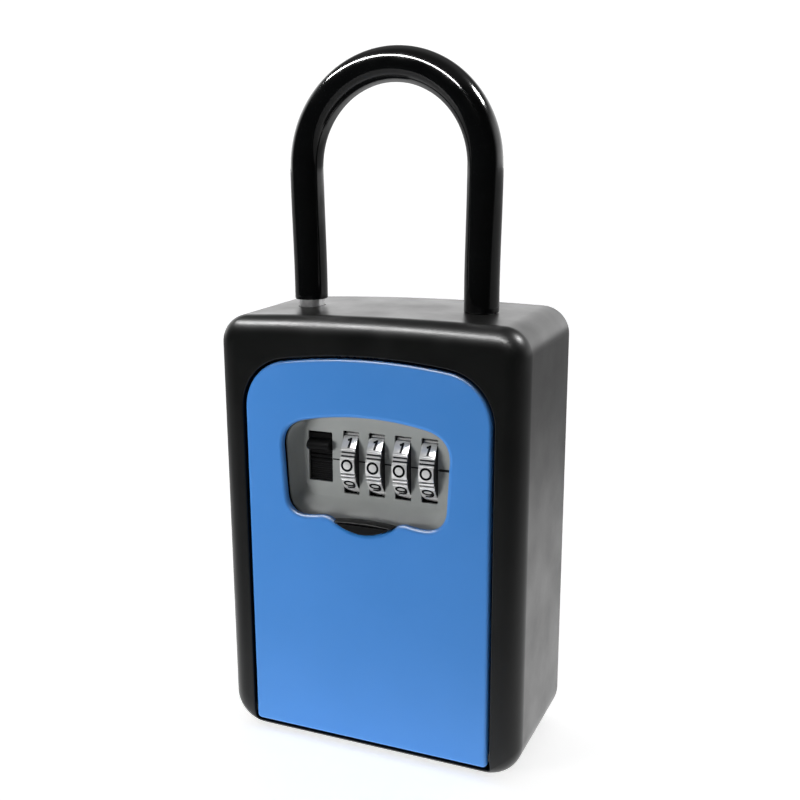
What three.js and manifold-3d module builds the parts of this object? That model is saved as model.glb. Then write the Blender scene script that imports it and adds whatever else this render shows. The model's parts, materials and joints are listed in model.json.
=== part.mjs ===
// Key lock box: a die-cast case that holds keys behind a bottom-hinged combination door,
// hung by a removable shackle. Millimetres. X runs across, the door faces -Y and Z is up.
// The origin is under the middle of the case.

import * as THREE from 'three';
import { mergeVertices } from 'three/addons/utils/BufferGeometryUtils.js';
import Module from 'manifold-3d';

const wasm = await Module();
wasm.setup();

// ---- Driving dimensions ----

// Case
const CASE_HALF = 42;
const CASE_DEPTH = 42;
const CASE_HEIGHT = 118.8;
const CASE_CROWN = 0.8;
const CASE_TOP_RADIUS = 7.4;
const CASE_BOTTOM_RADIUS = 9.6;
const FRONT_FILLET = 5.4;
const REAR_FILLET = 1.3;
const WALL = 3;
const FLOOR = 2.2;
const FRONT = -CASE_DEPTH / 2;
const REAR = CASE_DEPTH / 2;

// Door
const DOOR_HALF = 33.85;
const DOOR_LOW = 3.15;
const DOOR_SIDE_TOP = 107.75;
const DOOR_CROWN = 1.55;
const DOOR_CORNER = 13.2;
const DOOR_LOW_CORNER = 3;
const OPENING_LOW_CORNER = 2.2;
const DOOR_GAP = 0.7;
const DOOR_FRONT = FRONT + 0.2;
const DOOR_REAR = FRONT + 2.5;
const HINGE_Y = -18.5;
const HINGE_Z = 5.5;
const BARREL_RADIUS = HINGE_Z - DOOR_LOW;
const PIN_RADIUS = 1.25;
const RUNNING = 0.08;

// Combination
const DIAL_COUNT = 4;
const DIAL_RADIUS = 9.6;
const DIAL_WIDTH = 4.2;
const DIAL_PITCH = 7.28;
const DIAL_FIRST_X = -6.1;
const DIAL_Y = -7.6;
const DIAL_Z = 80.2;
const DIGITS = 10;
const AXLE_RADIUS = 1.4;
const CAM_RADIUS = 4;
const TRAY_FLOOR = -14.3;
const TRAY_THICK = 0.8;
const TRAY_RIM = -18.4;

// Sliding pieces
const OPEN_TRAVEL = 4.5;
const SLIDER_X = -15;
const SLIDER_HALF = 3.2;
const SLIDER_FRONT = -13.4;
const SLIDER_REAR = -12.4;
const SLIDER_LOW = 69.6;
const SHUTTER_FRONT = -19.5;
const SHUTTER_REAR = -18.75;
const SHUTTER_LOW = 34;
const RELEASE_TRAVEL = 4;
const RESET_TRAVEL = 4;

// Shackle
const LEG_X = 24;
const SHACKLE_Y = 0.9;
const BAR_RADIUS = 3.5;
const SLEEVE_RADIUS = 4.46;
const LEG_HOLE_RADIUS = 3.65;
const LEG_LOW = 101;
const LEG_TOP = 155.9;
const ARCH_HEIGHT = 25;
const SLEEVE_LOW_LEFT = 122;
const SLEEVE_LOW_RIGHT = 119.5;

// ---- Solids from three.js geometry ----

function toSolid(geometry) {
  const plain = geometry.clone();
  plain.deleteAttribute('normal');
  plain.deleteAttribute('uv');
  const merged = mergeVertices(plain);
  return new wasm.Manifold(new wasm.Mesh({
    numProp: 3,
    vertProperties: merged.attributes.position.array,
    triVerts: Uint32Array.from(merged.index.array),
  }));
}

function toGeometry(solid) {
  const mesh = solid.getMesh();
  const geometry = new THREE.BufferGeometry();
  geometry.setAttribute('position', new THREE.BufferAttribute(mesh.vertProperties, mesh.numProp));
  geometry.setIndex(new THREE.BufferAttribute(mesh.triVerts, 1));
  return geometry;
}

function join(solids) {
  return solids.reduce((whole, solid) => whole.add(solid));
}

function cut(solid, tools) {
  return tools.reduce((left, tool) => left.subtract(tool), solid);
}

function block([x0, x1], [y0, y1], [z0, z1]) {
  const geometry = new THREE.BoxGeometry(x1 - x0, y1 - y0, z1 - z0);
  geometry.translate((x0 + x1) / 2, (y0 + y1) / 2, (z0 + z1) / 2);
  return toSolid(geometry);
}

// A cylinder along an axis, from one coordinate to another; centre holds the other two coordinates.
function rod(axis, radius, [from, to], centre, sides = 24) {
  const geometry = new THREE.CylinderGeometry(radius, radius, to - from, sides);
  const middle = (from + to) / 2;
  if (axis === 'x') {
    geometry.rotateZ(Math.PI / 2);
    geometry.translate(middle, centre[0], centre[1]);
  } else if (axis === 'y') {
    geometry.translate(centre[0], middle, centre[1]);
  } else {
    geometry.rotateX(Math.PI / 2);
    geometry.translate(centre[0], centre[1], middle);
  }
  return toSolid(geometry);
}

// A front-view shape, in X and Z, made thick from y0 to y1 with its edges rounded by a radius.
function slab(shape, [y0, y1], { edge = 0, edgeSteps = 1, curveSteps = 4 } = {}) {
  const geometry = new THREE.ExtrudeGeometry(shape, {
    depth: y1 - y0 - 2 * edge,
    bevelEnabled: edge > 0,
    bevelThickness: edge,
    bevelSize: edge,
    bevelOffset: -edge,
    bevelSegments: edgeSteps,
    curveSegments: curveSteps,
  });
  geometry.translate(0, 0, edge);
  geometry.rotateX(Math.PI / 2);
  geometry.translate(0, y1, 0);
  return toSolid(geometry);
}

// A side-view shape, in Y and Z, made wide from x0 to x1.
function prism(points, [x0, x1]) {
  const shape = new THREE.Shape(points.map(([y, z]) => new THREE.Vector2(y, z)));
  const geometry = new THREE.ExtrudeGeometry(shape, { depth: x1 - x0, bevelEnabled: false });
  geometry.rotateY(Math.PI / 2);
  geometry.rotateX(Math.PI / 2);
  geometry.translate(x0, 0, 0);
  return toSolid(geometry);
}

// A plan-view shape, in X and Y, made high from z0 to z1.
function column(points, [z0, z1]) {
  const shape = new THREE.Shape(points.map(([x, y]) => new THREE.Vector2(x, y)));
  const geometry = new THREE.ExtrudeGeometry(shape, { depth: z1 - z0, bevelEnabled: false });
  geometry.translate(0, 0, z0);
  return toSolid(geometry);
}

// ---- Outlines seen from the front ----

// A panel with a gently arched top, and its own corner radius above and below.
function panelOutline({ half, low, sideTop, crown, topRadius, bottomRadius }) {
  const shape = new THREE.Shape();
  shape.moveTo(-half + bottomRadius, low);
  shape.lineTo(half - bottomRadius, low);
  shape.absarc(half - bottomRadius, low + bottomRadius, bottomRadius, -Math.PI / 2, 0);
  shape.lineTo(half, sideTop - topRadius);
  shape.absarc(half - topRadius, sideTop - topRadius, topRadius, 0, Math.PI / 2);
  shape.quadraticCurveTo(0, sideTop + 2 * crown, -half + topRadius, sideTop);
  shape.absarc(-half + topRadius, sideTop - topRadius, topRadius, Math.PI / 2, Math.PI);
  shape.lineTo(-half, low + bottomRadius);
  shape.absarc(-half + bottomRadius, low + bottomRadius, bottomRadius, Math.PI, 1.5 * Math.PI);
  return shape;
}

function caseOutline() {
  return panelOutline({
    half: CASE_HALF,
    low: 0,
    sideTop: CASE_HEIGHT,
    crown: CASE_CROWN,
    topRadius: CASE_TOP_RADIUS,
    bottomRadius: CASE_BOTTOM_RADIUS,
  });
}

// The door's outline, grown by a gap all round for the opening that it closes. The opening's lower
// corners are tighter than the door's, so that the open door's full width passes between them.
function doorOutline(gap = 0) {
  return panelOutline({
    half: DOOR_HALF + gap,
    low: gap > 0 ? FLOOR : DOOR_LOW,
    sideTop: DOOR_SIDE_TOP + gap,
    crown: DOOR_CROWN,
    topRadius: DOOR_CORNER + gap,
    bottomRadius: gap > 0 ? OPENING_LOW_CORNER : DOOR_LOW_CORNER,
  });
}

// The chassis behind the door is smaller all round, so that it swings out through the opening.
function chassisOutline() {
  return panelOutline({
    half: 32,
    low: 10,
    sideTop: 104.2,
    crown: 1.3,
    topRadius: 11.5,
    bottomRadius: 2,
  });
}

// The window: an arched top, round corners and a wavy sill with a round notch in its middle.
function windowOutline() {
  const shape = new THREE.Shape();
  shape.moveTo(0, 63);
  shape.quadraticCurveTo(4.6, 63, 9, 66.3);
  shape.quadraticCurveTo(10.2, 67.2, 11.8, 67);
  shape.quadraticCurveTo(14.5, 66.4, 17.3, 66.4);
  shape.quadraticCurveTo(22, 66.8, 22.3, 72);
  shape.lineTo(23, 85);
  shape.quadraticCurveTo(23, 91.4, 15.5, 92.5);
  shape.quadraticCurveTo(0, 95.5, -15.5, 92.5);
  shape.quadraticCurveTo(-23, 91.4, -23, 85);
  shape.lineTo(-22.3, 72);
  shape.quadraticCurveTo(-22, 66.8, -17.3, 66.4);
  shape.quadraticCurveTo(-14.5, 66.4, -11.8, 67);
  shape.quadraticCurveTo(-10.2, 67.2, -9, 66.3);
  shape.quadraticCurveTo(-4.6, 63, 0, 63);
  return shape;
}

// ---- Finishes and nodes ----

const FINISH = {
  satinBlack: { color: 0x151716, roughness: 0.42, metalness: 0.0 },
  blue: { color: 0x3f7fcf, roughness: 0.5, metalness: 0.0 },
  black: { color: 0x17181a, roughness: 0.55, metalness: 0.0 },
  grey: { color: 0x8b9194, roughness: 0.5, metalness: 0.0 },
  vinyl: { color: 0x08090a, roughness: 0.12, metalness: 0.0 },
  chrome: { color: 0xd8dadc, roughness: 0.18, metalness: 1.0 },
  steel: { color: 0xa8abae, roughness: 0.35, metalness: 1.0 },
  zinc: { color: 0x8d9093, roughness: 0.5, metalness: 0.9 },
  brass: { color: 0xb9974e, roughness: 0.35, metalness: 1.0 },
};

const lockBox = new THREE.Group();

function node(name, solid, finish) {
  const mesh = new THREE.Mesh(toGeometry(solid), new THREE.MeshStandardMaterial(FINISH[finish]));
  mesh.name = name;
  lockBox.add(mesh);
}

// ---- Screws ----

// A slotted pan-head screw. The head's seat is at the point and the shank runs along the direction.
function screwGeometry({ headRadius, headHeight, shankRadius, length }) {
  const profile = [
    [0, -headHeight],
    [headRadius * 0.7, -headHeight],
    [headRadius, -headHeight * 0.5],
    [headRadius, 0],
    [shankRadius, 0],
    [shankRadius, length - shankRadius],
    [0, length],
  ];
  const points = profile.map(([r, h]) => new THREE.Vector2(r, h));
  const turned = toSolid(new THREE.LatheGeometry(points, 12));
  const slot = new THREE.BoxGeometry(headRadius * 3, headHeight * 0.8, 0.5);
  slot.translate(0, -headHeight, 0);
  return toGeometry(turned.subtract(toSolid(slot)));
}

// Places a screw and returns the solid to cut for its shank, a little wider than the shank.
function screw(name, seat, direction, size) {
  const geometry = screwGeometry(size);
  const along = new THREE.Vector3(...direction);
  const turn = new THREE.Quaternion().setFromUnitVectors(new THREE.Vector3(0, 1, 0), along);
  const mesh = new THREE.Mesh(geometry, new THREE.MeshStandardMaterial(FINISH.steel));
  mesh.name = name;
  mesh.position.set(...seat);
  mesh.quaternion.copy(turn);
  lockBox.add(mesh);
  const holeRadius = size.shankRadius + 0.15;
  const hole = new THREE.CylinderGeometry(holeRadius, holeRadius, size.length + 0.8, 12);
  hole.translate(0, size.length / 2 + 0.2, 0);
  hole.applyQuaternion(turn);
  hole.translate(...seat);
  return toSolid(hole);
}

const SMALL_SCREW = { headRadius: 1.9, headHeight: 1.1, shankRadius: 0.95, length: 5 };
const SHORT_SCREW = { headRadius: 1.9, headHeight: 1.1, shankRadius: 0.95, length: 3.1 };
const HOUSING_SCREW = { headRadius: 2.1, headHeight: 1.2, shankRadius: 1.1, length: 19 };

const corners = (x, z) => [[-x, z[0]], [x, z[0]], [-x, z[1]], [x, z[1]]];

// ---- Shackle: a steel bar under a vinyl sleeve ----

// The centre line rises from one leg's end, over the arch and down to the other leg's end.
function shackleLine(lowLeft, lowRight) {
  const points = [new THREE.Vector3(-LEG_X, SHACKLE_Y, lowLeft)];
  const legSteps = 5;
  for (let i = 1; i <= legSteps; i += 1) {
    points.push(new THREE.Vector3(-LEG_X, SHACKLE_Y, lowLeft + (LEG_TOP - lowLeft) * i / legSteps));
  }
  const archSteps = 12;
  for (let i = 1; i < archSteps; i += 1) {
    const angle = Math.PI * (1 - i / archSteps);
    points.push(new THREE.Vector3(
      LEG_X * Math.cos(angle),
      SHACKLE_Y,
      LEG_TOP + ARCH_HEIGHT * Math.sin(angle),
    ));
  }
  for (let i = 0; i <= legSteps; i += 1) {
    points.push(new THREE.Vector3(LEG_X, SHACKLE_Y, LEG_TOP + (lowRight - LEG_TOP) * i / legSteps));
  }
  return new THREE.CatmullRomCurve3(points);
}

function sweep(line, radius, { sides = 12, steps = 28 } = {}) {
  const section = new THREE.Shape();
  section.absarc(0, 0, radius, 0, 2 * Math.PI);
  return toSolid(new THREE.ExtrudeGeometry(section, {
    extrudePath: line,
    steps,
    curveSegments: sides / 2,
    bevelEnabled: false,
  }));
}

const barLine = shackleLine(LEG_LOW, LEG_LOW);
const sleeveLine = shackleLine(SLEEVE_LOW_LEFT, SLEEVE_LOW_RIGHT);
const notches = [-LEG_X, LEG_X].map((x) => block([x + 2, x + 5], [-4, 6], [104, 108]));
node('shackle_bar', cut(sweep(barLine, BAR_RADIUS), notches), 'chrome');
const sleeveBore = sweep(barLine, BAR_RADIUS + 0.16);
node('shackle_sleeve', sweep(sleeveLine, SLEEVE_RADIUS).subtract(sleeveBore), 'vinyl');

// ---- Shackle lock, under the case's top ----

const HOUSING_LOW = 97;
const LATCH_LOW = 104.4;
const LATCH_HIGH = 107.4;
const BUTTON_HALF = 6;
const housingScrewHoles = [];
[[-31, -4.5], [31, -4.5], [-31, 15.4], [31, 15.4]].forEach(([x, y], i) => {
  const seat = [x, y, HOUSING_LOW + 1.5];
  housingScrewHoles.push(screw(`housing_screw_${i + 1}`, seat, [0, 0, 1], HOUSING_SCREW));
  housingScrewHoles.push(rod('z', 2.4, [HOUSING_LOW - 1, HOUSING_LOW + 1.5], [x, y], 12));
});
const legHoles = [-LEG_X, LEG_X].map((x) => rod('z', LEG_HOLE_RADIUS, [LEG_LOW - 0.6, 125], [x, SHACKLE_Y]));

node('shackle_housing', cut(block([-34, 34], [-6, 17.5], [HOUSING_LOW, 115.6]), [
  block([-40, 40], [-3, 13.4], [LATCH_LOW - 0.4, LATCH_HIGH + 0.4]),
  block([-BUTTON_HALF - 0.5, BUTTON_HALF + RELEASE_TRAVEL + 0.5], [8, 13.2], [HOUSING_LOW - 1, LATCH_LOW]),
  ...legHoles,
  ...housingScrewHoles,
]), 'zinc');

const hookSlots = [-LEG_X, LEG_X].map((x) => (
  block(
    [x - BAR_RADIUS - RELEASE_TRAVEL - 0.5, x + BAR_RADIUS + 0.25],
    [-4, 5.2],
    [LATCH_LOW - 1, LATCH_HIGH + 1],
  )
));
node('shackle_latch', cut(block([-31, 31], [-2.6, 13], [LATCH_LOW, LATCH_HIGH]), [
  ...hookSlots,
  block([-3.1, 3.1], [9.4, 11.8], [LATCH_LOW - 1, LATCH_HIGH + 1]),
]), 'steel');

node('release_button', join([
  block([-3, 3], [9.5, 11.7], [LATCH_LOW - 6, LATCH_HIGH]),
  block([-BUTTON_HALF, BUTTON_HALF], [8.5, 12.6], [88, LATCH_LOW - 7.8]),
  block([-4, 4], [8.7, 12.4], [LATCH_LOW - 8, LATCH_LOW - 0.5]),
  ...[-4, -2, 0, 2, 4].map((x) => block([x - 0.5, x + 0.5], [7.9, 8.6], [89, 96])),
]), 'black');

// A compression spring's wire, wound along an axis between two coordinates.
class Coil extends THREE.Curve {
  constructor(axis, [from, to], centre, radius, turns) {
    super();
    Object.assign(this, { axis, from, to, centre, radius, turns });
  }

  getPoint(t) {
    const angle = 2 * Math.PI * this.turns * t;
    const a = this.centre[0] + this.radius * Math.cos(angle);
    const b = this.centre[1] + this.radius * Math.sin(angle);
    const along = this.from + (this.to - this.from) * t;
    return this.axis === 'x' ? new THREE.Vector3(along, a, b) : new THREE.Vector3(a, b, along);
  }
}

const shackleCoil = new Coil('x', [31.6, 38.3], [5.2, 105.9], 1.4, 5);
node('shackle_spring', sweep(shackleCoil, 0.3, { sides: 6, steps: 40 }), 'steel');

// ---- Strike for the door's bolt ----

const strikeHoles = [-6, 6].map((x, i) => (
  screw(`strike_screw_${i + 1}`, [x, -16.4, 112.2], [0, -1, 0], SHORT_SCREW)
));
node('strike_plate', cut(join([
  block([-9, 9], [-17.9, -16.4], [109, 115.5]),
  block([-9, 9], [-17.9, -12.6], [114.4, 115.5]),
]), strikeHoles), 'steel');

// ---- Case ----

// The front is rounded generously and the rear only slightly, so two rounded slabs are intersected.
const frontRounded = slab(caseOutline(), [FRONT, REAR + 20], { edge: FRONT_FILLET, edgeSteps: 3 });
const rearRounded = slab(caseOutline(), [FRONT - 20, REAR], { edge: REAR_FILLET, edgeSteps: 1 });
const cavity = panelOutline({
  half: CASE_HALF - WALL,
  low: FLOOR,
  sideTop: CASE_HEIGHT - WALL,
  crown: CASE_CROWN,
  topRadius: 5,
  bottomRadius: 7,
});
const outside = frontRounded.intersect(rearRounded);
const hollow = cut(outside, [
  slab(cavity, [FRONT + WALL, REAR - WALL]),
  slab(doorOutline(DOOR_GAP), [FRONT - 1, FRONT + WALL + 0.1]),
]);
const hingeLugs = [[-39.5, -34.9], [34.9, 39.5]].map((across) => (
  block(across, [-20, -15.5], [1.5, 9]).intersect(outside)
));
const pinHole = rod('x', PIN_RADIUS + RUNNING, [-38.3, 38.3], [HINGE_Y, HINGE_Z]);
node('body_shell', cut(join([hollow, ...hingeLugs]), [
  ...legHoles,
  ...housingScrewHoles,
  ...strikeHoles,
  pinHole,
]), 'satinBlack');
node('hinge_pin', rod('x', PIN_RADIUS, [-38, 38], [HINGE_Y, HINGE_Z]), 'steel');

// ---- Door: the coloured panel, with its hinge barrel and the window ----

const chassisScrewHoles = corners(29.2, [20, 89]).map(([x, z], i) => (
  screw(`chassis_screw_${i + 1}`, [x, -16.6, z], [0, -1, 0], SHORT_SCREW)
));
node('door_panel', cut(join([
  slab(doorOutline(), [DOOR_FRONT, DOOR_REAR], { edge: 0.8, edgeSteps: 2 }),
  rod('x', BARREL_RADIUS, [-31, 31], [HINGE_Y, HINGE_Z]),
]), [
  slab(windowOutline(), [FRONT - 1, DOOR_REAR + 1], { curveSteps: 5 }),
  block([-26, 26], [SHUTTER_FRONT - 0.15, DOOR_REAR + 1], [SHUTTER_LOW - 1, 97]),
  pinHole,
  ...chassisScrewHoles,
]), 'blue');

// ---- Door chassis: base plate, collar round the tray, dial housing and bolt housing ----

const DIAL_BOX_HALF = 25.4;
const DIAL_BOX_LOW = 67.5;
const DIAL_BOX_HIGH = 92.5;
const DIAL_BOX_REAR = 4;
const TRAY_HALF = 23.6;
const TRAY_LOW = 62.6;
const TRAY_HIGH = 95.6;
const COLLAR_FRONT = -17;
const COLLAR_REAR = -12.6;
const COLLAR_WALL = 1.5;
const COVER_LOW = 92.6;
const COVER_FRONT = -9.45;
const basePlate = slab(chassisOutline(), [-18.2, -16.6]);
const boltHousing = cut(block([-30, 30], [-17, -9.5], [DIAL_BOX_HIGH, 105.5]), [
  block([-26.5, 26.5], [-16.6, -9], [90, 103.9]),
  block([-7.4, 7.4], [-16.6, -9], [103, 106]),
]);
const coverHoles = [-28.2, 28.2].map((x, i) => (
  screw(`latch_cover_screw_${i + 1}`, [x, -8.35, 97], [0, -1, 0], SMALL_SCREW)
));
const dialCoverHoles = corners(23.95, [70.5, 89.5]).map(([x, z], i) => (
  screw(`dial_cover_screw_${i + 1}`, [x, 5.25, z], [0, -1, 0], SMALL_SCREW)
));
const swingRoom = slab(chassisOutline(), [-20, 10]);
const axleHole = rod('x', AXLE_RADIUS + RUNNING, [-24.4, 24.4], [DIAL_Y, DIAL_Z]);
node('door_chassis', cut(join([
  basePlate,
  block(
    [-TRAY_HALF - 0.3 - COLLAR_WALL, TRAY_HALF + 0.3 + COLLAR_WALL],
    [COLLAR_FRONT, COLLAR_REAR],
    [TRAY_LOW - 0.3 - COLLAR_WALL, TRAY_HIGH + 0.3 + COLLAR_WALL],
  ),
  block([-DIAL_BOX_HALF, DIAL_BOX_HALF], [-13, DIAL_BOX_REAR], [DIAL_BOX_LOW, DIAL_BOX_HIGH]),
  boltHousing.intersect(swingRoom),
]), [
  block([-TRAY_HALF - 0.3, TRAY_HALF + 0.3], [-19, COLLAR_REAR], [TRAY_LOW - 0.3, TRAY_HIGH + 0.3]),
  block([-22.5, 22.5], [-13, DIAL_BOX_REAR + 1], [69, 91]),
  block([SLIDER_X - 4.6, SLIDER_X + 4.6], [-13, -10.3], [SLIDER_LOW - OPEN_TRAVEL - 0.3, 98]),
  block([-20.5, 17], [-13, -10.3], [92.4, 98]),
  axleHole,
  ...chassisScrewHoles,
  ...coverHoles,
  ...dialCoverHoles,
]), 'black');

node('latch_cover', cut(
  block([-30, 30], [COVER_FRONT, -8.35], [COVER_LOW, 105.5]).intersect(swingRoom),
  coverHoles,
), 'black');

const LEVER_NECK = [5, 9.5];
node('dial_cover', cut(
  block([-DIAL_BOX_HALF, DIAL_BOX_HALF], [DIAL_BOX_REAR + 0.05, 5.25], [DIAL_BOX_LOW, DIAL_BOX_HIGH]),
  [block([LEVER_NECK[0] - 0.5, LEVER_NECK[1] + RESET_TRAVEL + 0.5], [3, 6], [73.4, 76.6]), ...dialCoverHoles],
), 'black');

// ---- Dial tray: the grey recess seen through the window ----

const SLOT_LOW = 71.6;
const SLOT_HIGH = 88.8;
const SLIDER_SLOT_LOW = 74.3;
const SLIDER_SLOT_HIGH = 88;
const INDEX_LOW = 80.55;
const dialX = Array.from({ length: DIAL_COUNT }, (_, i) => DIAL_FIRST_X + DIAL_PITCH * i);
const dialSlots = dialX.map((x) => block([x - 2.25, x + 2.25], [-15, -12], [SLOT_LOW, SLOT_HIGH]));
const trayBlank = block([-TRAY_HALF, TRAY_HALF], [TRAY_RIM, TRAY_FLOOR + TRAY_THICK], [TRAY_LOW, TRAY_HIGH]);
node('dial_tray', cut(trayBlank, [
  prism([[-18.5, 64], [-18.5, 94.3], [TRAY_FLOOR, 93], [TRAY_FLOOR, 73]], [-19.1, 21.2]),
  column([[-19, TRAY_FLOOR], [-22, -18.5], [-18, -18.5], [-18, TRAY_FLOOR]], [66.5, 93]),
  column([[21, TRAY_FLOOR], [20, TRAY_FLOOR], [20, -18.5], [22.8, -18.5]], [66.5, 93]),
  block([SLIDER_X - 3.5, SLIDER_X + 3.5], [-15, -12], [SLIDER_SLOT_LOW, SLIDER_SLOT_HIGH]),
  block([-11.4, 21], [TRAY_FLOOR - 0.1, TRAY_FLOOR + 0.4], [INDEX_LOW, INDEX_LOW + 0.4]),
  ...dialSlots,
]), 'grey');

// ---- Combination dials, their cams, axle and detent ----

function polar(radius, degrees) {
  const angle = THREE.MathUtils.degToRad(degrees);
  return new THREE.Vector2(radius * Math.cos(angle), radius * Math.sin(angle));
}

// One number pad, a groove, a finger rib and another groove for each digit.
function dialShape() {
  const step = 360 / DIGITS;
  const profile = [
    [DIAL_RADIUS, -11], [DIAL_RADIUS, 0], [DIAL_RADIUS, 11],
    [8.9, 12], [8.9, 14.5],
    [9.4, 15], [9.4, 21],
    [8.9, 21.5], [8.9, 24],
  ];
  const points = [];
  for (let digit = 0; digit < DIGITS; digit += 1) {
    profile.forEach(([radius, degrees]) => points.push(polar(radius, 180 + digit * step + degrees)));
  }
  const shape = new THREE.Shape(points);
  const bore = new THREE.Path();
  bore.absarc(0, 0, AXLE_RADIUS + RUNNING, 0, 2 * Math.PI, true);
  shape.holes.push(bore);
  return shape;
}

// A disc with one gate cut in its rim, where the locking comb drops in when the code is right.
function camShape() {
  const gate = 18;
  const shape = new THREE.Shape();
  shape.absarc(0, 0, CAM_RADIUS, THREE.MathUtils.degToRad(gate), THREE.MathUtils.degToRad(360 - gate));
  shape.lineTo(2.6, polar(CAM_RADIUS, -gate).y);
  shape.lineTo(2.6, polar(CAM_RADIUS, gate).y);
  const bore = new THREE.Path();
  bore.absarc(0, 0, AXLE_RADIUS + RUNNING, 0, 2 * Math.PI, true);
  shape.holes.push(bore);
  return shape;
}

// Turns a shape drawn in Y and Z about the dials' axle into a disc from x0 to x1.
function disc(shape, [x0, x1], curveSteps) {
  const geometry = new THREE.ExtrudeGeometry(shape, {
    depth: x1 - x0,
    bevelEnabled: false,
    curveSegments: curveSteps,
  });
  geometry.rotateY(Math.PI / 2);
  geometry.rotateX(Math.PI / 2);
  geometry.translate(x0, DIAL_Y, DIAL_Z);
  return toSolid(geometry);
}

dialX.forEach((x, i) => {
  const right = x + DIAL_WIDTH / 2;
  node(`dial_${i + 1}`, disc(dialShape(), [x - DIAL_WIDTH / 2, right], 8), 'chrome');
  node(`cam_${i + 1}`, disc(camShape(), [right + 0.05, right + 2.2], 8), 'brass');
});
node('dial_axle', rod('x', AXLE_RADIUS, [-24.2, 24.2], [DIAL_Y, DIAL_Z]), 'steel');

const detentBump = [[DIAL_Y - 2.6, 69.4], [DIAL_Y, 70.2], [DIAL_Y + 2.6, 69.4]];
node('detent_spring', join([
  block([-9, 19], [-12, -3], [69.1, 69.6]),
  ...dialX.map((x) => prism(detentBump, [x - 1.2, x + 1.2])),
]), 'steel');

// ---- Opening slider, the plate that it pulls, the bolt and its spring ----

// The grip is ribs left between grooves in the plate, so that it can slide down behind the tray.
const SLIDER_WIDTH = [SLIDER_X - SLIDER_HALF, SLIDER_X + SLIDER_HALF];
const sliderGrooves = [74.6, 75.8, 77, 78.2].map((z) => (
  block(SLIDER_WIDTH, [SLIDER_FRONT - 1, SLIDER_FRONT + 0.4], [z, z + 0.6])
));
const padLow = SLIDER_SLOT_LOW + OPEN_TRAVEL + 0.4;
const thumbRidge = prism([
  [SLIDER_FRONT, 83],
  [-15.4, 83.6],
  [-16.4, 84.3],
  [-16.4, 85.2],
  [-15.2, 86],
  [-13.6, 87.6],
  [SLIDER_FRONT, 87.6],
], SLIDER_WIDTH);
node('open_slider', join([
  cut(
    block([SLIDER_X - 4, SLIDER_X + 4], [SLIDER_FRONT, SLIDER_REAR], [SLIDER_LOW, 90.8]),
    sliderGrooves,
  ),
  block(SLIDER_WIDTH, [SLIDER_FRONT - 0.4, SLIDER_FRONT + 0.1], [padLow, 87.6]),
  thumbRidge,
]), 'black');

const combTeeth = dialX.map((x) => (
  block([x + 2.5, x + 4.2], [DIAL_Y + CAM_RADIUS + 0.4, 2.6], [87, 90.5])
));
node('latch_plate', join([
  block([SLIDER_X - 3, SLIDER_X + 3.8], [-12.3, -11.3], [73, 103]),
  block([-18, 16], [-12.3, -11.3], [100, 103]),
  block([-12.4, -11.2], [-12.3, 3.4], [87, 90.5]),
  block([-12.4, 20], [2.4, 3.4], [87, 90.5]),
  ...combTeeth,
]), 'steel');

const BOLT_LOW = 102;
const BOLT_HIGH = 108.5;
node('latch_bolt', prism([
  [-12.35, BOLT_LOW],
  [-12.35, 103.4],
  [-14.4, 103.4],
  [-14.4, BOLT_HIGH],
  [-15.2, BOLT_HIGH],
  [-16.2, 107],
  [-16.2, BOLT_LOW],
], [-7, 7]), 'zinc');

const boltCoil = new Coil('z', [92.95, 99.6], [12, -11.5], 1.3, 4.5);
node('latch_spring', sweep(boltCoil, 0.3, { sides: 6, steps: 36 }), 'steel');

// ---- Weather shutter ----

const shutterShape = new THREE.Shape();
shutterShape.moveTo(-25.6, SHUTTER_LOW);
shutterShape.lineTo(25.6, SHUTTER_LOW);
shutterShape.lineTo(25.6, 65.4);
shutterShape.lineTo(9.8, 65.8);
shutterShape.quadraticCurveTo(0, 67.4, -9.8, 65.8);
shutterShape.lineTo(-25.6, 65.4);
shutterShape.closePath();
const thumbShape = new THREE.Shape();
thumbShape.moveTo(0, 63.35);
thumbShape.quadraticCurveTo(4.4, 63.35, 8.2, 66);
thumbShape.quadraticCurveTo(0, 67, -8.2, 66);
thumbShape.quadraticCurveTo(-4.4, 63.35, 0, 63.35);
node('shutter', join([
  slab(shutterShape, [SHUTTER_FRONT, SHUTTER_REAR]),
  slab(thumbShape, [SHUTTER_FRONT - 0.7, SHUTTER_REAR]),
]), 'black');

// ---- Code-setting lever, reached from behind the open door ----

node('reset_lever', join([
  block([3.5, 11], [2.7, 3.85], [72.4, 77.6]),
  block(LEVER_NECK, [2.7, 5.6], [73.8, 76.2]),
  block([4.6, 9.9], [5.4, 7.4], [73, 77]),
]), 'grey');

export default lockBox;
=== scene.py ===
import json
import math

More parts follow.
